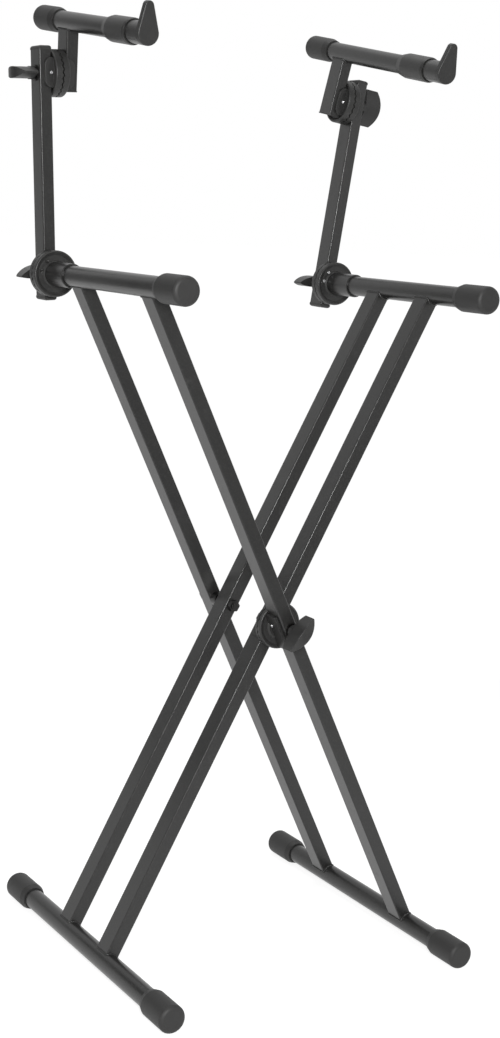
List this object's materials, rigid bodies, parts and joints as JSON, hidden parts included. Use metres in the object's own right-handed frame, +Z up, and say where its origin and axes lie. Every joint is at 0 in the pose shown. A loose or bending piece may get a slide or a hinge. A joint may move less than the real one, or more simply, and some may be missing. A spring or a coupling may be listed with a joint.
{
  "type": "keyboard stand",
  "caption": "Black folding keyboard stand with double-braced X legs, a toothed pivot clutch, swivelling uprights and tilting telescopic upper arms",
  "frame": {"origin": "on the floor, straight below the middle of the pivot axis of the X, between the four soles", "axes": "+X across the opening of the X, from the left arm to the right arm; +Y away from the player, towards the uprights; +Z up"},
  "size_m": [0.6858, 0.6278, 1.4742],
  "materials": {
    "black_paint": "satin black powder coat with a fine orange-peel",
    "cap_rubber": "matte moulded black rubber",
    "clutch_plastic": "matte black glass-filled nylon",
    "knob_plastic": "matte black moulded nylon",
    "plug_plastic": "matte black polyethylene",
    "zinc_steel": "bright zinc-plated steel",
    "black_zinc": "black zinc-plated steel"
  },
  "bodies": {
    "outer_frame": {"left_arm_tube": "black_paint", "left_arm_cap": "cap_rubber", "left_arm_hub": "black_paint", "left_arm_disc": "clutch_plastic", "left_swivel_bolt": "zinc_steel", "outer_front_leg": "black_paint", "outer_back_leg": "black_paint", "right_foot_tube": "black_paint", "right_foot_caps": "cap_rubber", "outer_pivot_disc": "clutch_plastic", "front_pivot_washer": "black_zinc", "back_pivot_bolt": "black_zinc", "back_pivot_nut": "black_zinc", "back_pivot_spacer": "black_zinc"},
    "inner_frame": {"right_arm_tube": "black_paint", "right_arm_cap": "cap_rubber", "right_arm_hub": "black_paint", "right_arm_disc": "clutch_plastic", "right_swivel_bolt": "zinc_steel", "inner_front_leg": "black_paint", "inner_back_leg": "black_paint", "left_foot_tube": "black_paint", "left_foot_caps": "cap_rubber", "inner_pivot_disc": "clutch_plastic", "front_pivot_bolt": "black_zinc"},
    "pivot_knob": {"pivot_knob": "knob_plastic"},
    "left_upright": {"left_upright_tube": "black_paint", "left_upright_plugs": "plug_plastic", "left_upright_disc": "clutch_plastic", "left_upright_tilt_disc": "clutch_plastic", "left_swivel_washer": "black_zinc", "left_tilt_washer": "black_zinc"},
    "left_swivel_knob": {"left_swivel_knob": "knob_plastic"},
    "left_upper_arm": {"left_stub_tube": "black_paint", "left_stub_plug": "plug_plastic", "left_stub_disc": "clutch_plastic", "left_tilt_bolt": "zinc_steel", "left_upper_tube": "black_paint", "left_upper_cap": "cap_rubber"},
    "left_tilt_knob": {"left_tilt_knob": "knob_plastic"},
    "left_sleeve": {"left_sleeve": "black_paint"},
    "left_lock_collar": {"left_lock_collar": "clutch_plastic"},
    "left_end_stop": {"left_end_stop": "knob_plastic"},
    "right_upright": {"right_upright_tube": "black_paint", "right_upright_plugs": "plug_plastic", "right_upright_disc": "clutch_plastic", "right_upright_tilt_disc": "clutch_plastic", "right_swivel_washer": "black_zinc", "right_tilt_washer": "black_zinc"},
    "right_swivel_knob": {"right_swivel_knob": "knob_plastic"},
    "right_upper_arm": {"right_stub_tube": "black_paint", "right_stub_plug": "plug_plastic", "right_stub_disc": "clutch_plastic", "right_tilt_bolt": "zinc_steel", "right_upper_tube": "black_paint", "right_upper_cap": "cap_rubber"},
    "right_tilt_knob": {"right_tilt_knob": "knob_plastic"},
    "right_sleeve": {"right_sleeve": "black_paint"},
    "right_lock_collar": {"right_lock_collar": "clutch_plastic"},
    "right_end_stop": {"right_end_stop": "knob_plastic"}
  },
  "joints": [
    {"name": "fold", "type": "hinge", "parent": "outer_frame", "child": "inner_frame", "pos_m": [0, 0, 0.53639], "axis": [0, 1, 0], "range_deg": [-46, 60]},
    {"name": "pivot_knob_turn", "type": "hinge", "parent": "inner_frame", "child": "pivot_knob", "pos_m": [0, -0.15, 0.53639], "axis": [0, -1, 0], "continuous": true},
    {"name": "left_swivel", "type": "hinge", "parent": "outer_frame", "child": "left_upright", "pos_m": [-0.26286, 0.242, 1.05229], "axis": [0, 1, 0], "range_deg": [-60, 60]},
    {"name": "left_swivel_knob_turn", "type": "hinge", "parent": "outer_frame", "child": "left_swivel_knob", "pos_m": [-0.26286, 0.277, 1.05229], "axis": [0, 1, 0], "continuous": true},
    {"name": "left_tilt", "type": "hinge", "parent": "left_upright", "child": "left_upper_arm", "pos_m": [-0.2388, 0.242, 1.36198], "axis": [0.9979, 0, 0.0645], "range_deg": [-45, 45]},
    {"name": "left_tilt_knob_turn", "type": "hinge", "parent": "left_upper_arm", "child": "left_tilt_knob", "pos_m": [-0.31264, 0.242, 1.35721], "axis": [-0.9979, 0, -0.0645], "continuous": true},
    {"name": "left_sleeve_slide", "type": "slide", "parent": "left_upper_arm", "child": "left_sleeve", "axis": [0.0082, -0.9919, -0.1268], "range_m": [-0.034, 0.044]},
    {"name": "left_collar_twist", "type": "hinge", "parent": "left_sleeve", "child": "left_lock_collar", "pos_m": [-0.2423, 0.04449, 1.41622], "axis": [0.0082, -0.9919, -0.1268], "range_deg": [0, 60]},
    {"name": "left_stop_turn", "type": "hinge", "parent": "left_sleeve", "child": "left_end_stop", "pos_m": [-0.24166, -0.03387, 1.4062], "axis": [0.0082, -0.9919, -0.1268], "range_deg": [-90, 90]},
    {"name": "right_swivel", "type": "hinge", "parent": "inner_frame", "child": "right_upright", "pos_m": [0.26286, 0.242, 1.05229], "axis": [0, 1, 0], "range_deg": [-60, 60]},
    {"name": "right_swivel_knob_turn", "type": "hinge", "parent": "inner_frame", "child": "right_swivel_knob", "pos_m": [0.26286, 0.277, 1.05229], "axis": [0, 1, 0], "continuous": true},
    {"name": "right_tilt", "type": "hinge", "parent": "right_upright", "child": "right_upper_arm", "pos_m": [0.25829, 0.242, 1.36288], "axis": [0.9919, 0, -0.1271], "range_deg": [-45, 45]},
    {"name": "right_tilt_knob_turn", "type": "hinge", "parent": "right_upper_arm", "child": "right_tilt_knob", "pos_m": [0.33169, 0.242, 1.35348], "axis": [0.9919, 0, -0.1271], "continuous": true},
    {"name": "right_sleeve_slide", "type": "slide", "parent": "right_upper_arm", "child": "right_sleeve", "axis": [-0.0194, -0.9882, -0.1517], "range_m": [-0.07, 0.008]},
    {"name": "right_collar_twist", "type": "hinge", "parent": "right_sleeve", "child": "right_lock_collar", "pos_m": [0.26384, 0.00756, 1.40618], "axis": [-0.0194, -0.9882, -0.1517], "range_deg": [0, 60]},
    {"name": "right_stop_turn", "type": "hinge", "parent": "right_sleeve", "child": "right_end_stop", "pos_m": [0.2623, -0.07051, 1.39419], "axis": [-0.0194, -0.9882, -0.1517], "range_deg": [-90, 90]}
  ],
  "couplings": [
    {"joint": "right_swivel", "follows": "fold", "ratio": -1}
  ]
}
